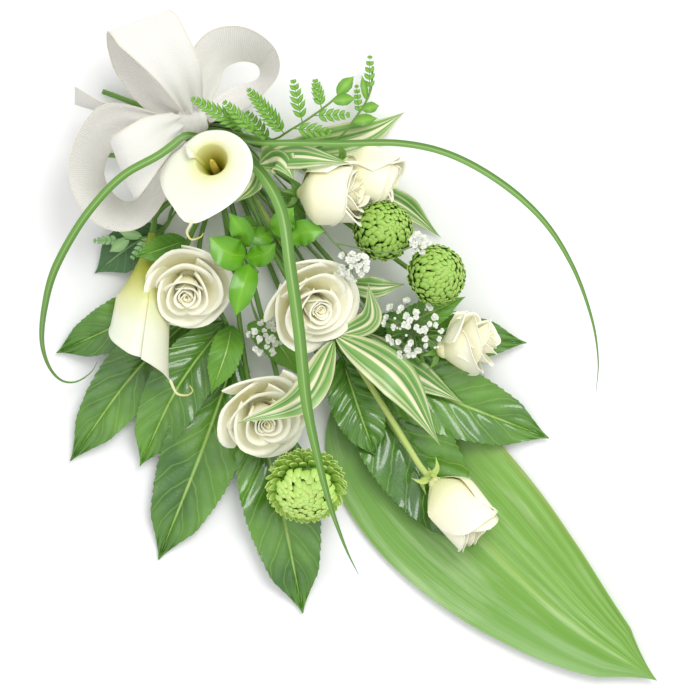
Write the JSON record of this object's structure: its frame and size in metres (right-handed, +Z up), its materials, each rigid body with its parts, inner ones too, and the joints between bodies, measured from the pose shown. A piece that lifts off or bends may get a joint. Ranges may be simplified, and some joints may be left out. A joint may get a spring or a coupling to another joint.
{
  "type": "sympathy flower arrangement",
  "caption": "Flat-backed tied sheaf of white roses, calla lilies, green mums and foliage with a ribbon bow, made to lie on a surface.",
  "frame": {"origin": "middle of the surface that the sheaf lies on, under the centre of its box", "axes": "+Z up from the surface, +Y along the sheaf toward the bow and the cut stem ends, -Y toward the tip of the long leaf"},
  "size_m": [0.3986, 0.6546, 0.1244],
  "materials": {
    "rose_petal": "soft matte ivory petals, greener toward the heart",
    "calla_spathe": "satin ivory spathe with a yellow-green throat",
    "calla_spadix": "yellow spadix, finely grained",
    "green_mum_petal": "matte green petals, paler at the tips",
    "lime_mum_petal": "matte lime petals, paler at the tips",
    "gypsophila": "small matte white florets on thin green stems",
    "flower_stem": "smooth green stem with a slight sheen",
    "pale_flower_stem": "smooth pale green stem",
    "aspidistra_leaf": "satin leaf with fine parallel veins",
    "glossy_leaf": "glossy toothed leaf with pale veins",
    "laurel_leaf": "dark satin leaf",
    "dracaena_leaf": "green leaf with lengthwise cream stripes",
    "ruscus_leaf": "bright green satin leaf",
    "fern_frond": "thin matte fern leaflets",
    "lily_grass": "satin grass blade with a pale midrib",
    "ribbon": "off-white cotton ribbon with fine cross ribs and cream edges",
    "binding_band": "plain matte band"
  },
  "bodies": {
    "root": {"aspidistra_leaf": "aspidistra_leaf", "binding_tie": "binding_band", "bow_ribbon": "ribbon", "calla_1_spadix": "calla_spadix", "calla_1_spathe": "calla_spathe", "calla_1_stem": "flower_stem", "calla_2_spadix": "calla_spadix", "calla_2_spathe": "calla_spathe", "calla_2_stem": "flower_stem", "dracaena_leaf_4": "dracaena_leaf", "dracaena_leaf_5": "dracaena_leaf", "dracaena_leaf_6": "dracaena_leaf", "dracaena_shoot_1": "dracaena_leaf", "dracaena_shoot_2": "dracaena_leaf", "dracaena_shoot_3": "dracaena_leaf", "fern_frond_1": "fern_frond", "fern_frond_2": "fern_frond", "fern_frond_3": "fern_frond", "fern_frond_4": "fern_frond", "glossy_spray_1": "glossy_leaf", "glossy_spray_2": "glossy_leaf", "gypsophila_1": "gypsophila", "gypsophila_2": "gypsophila", "gypsophila_3": "gypsophila", "laurel_leaf": "laurel_leaf", "lily_grass_1": "lily_grass", "lily_grass_2": "lily_grass", "lily_grass_3": "lily_grass", "mum_1_head": "green_mum_petal", "mum_1_stem": "flower_stem", "mum_2_head": "green_mum_petal", "mum_2_stem": "flower_stem", "mum_3_head": "lime_mum_petal", "mum_3_stem": "flower_stem", "rose_1_bloom": "rose_petal", "rose_1_stem": "flower_stem", "rose_2_bloom": "rose_petal", "rose_2_stem": "flower_stem", "rose_3_bloom": "rose_petal", "rose_3_stem": "flower_stem", "rose_4_bloom": "rose_petal", "rose_4_stem": "flower_stem", "rose_5_bloom": "rose_petal", "rose_5_stem": "flower_stem", "rose_6_bloom": "rose_petal", "rose_6_stem": "flower_stem", "rose_7_bloom": "rose_petal", "rose_7_stem": "pale_flower_stem", "ruscus_shoot_1": "ruscus_leaf", "ruscus_shoot_2": "ruscus_leaf"}
  },
  "joints": []
}
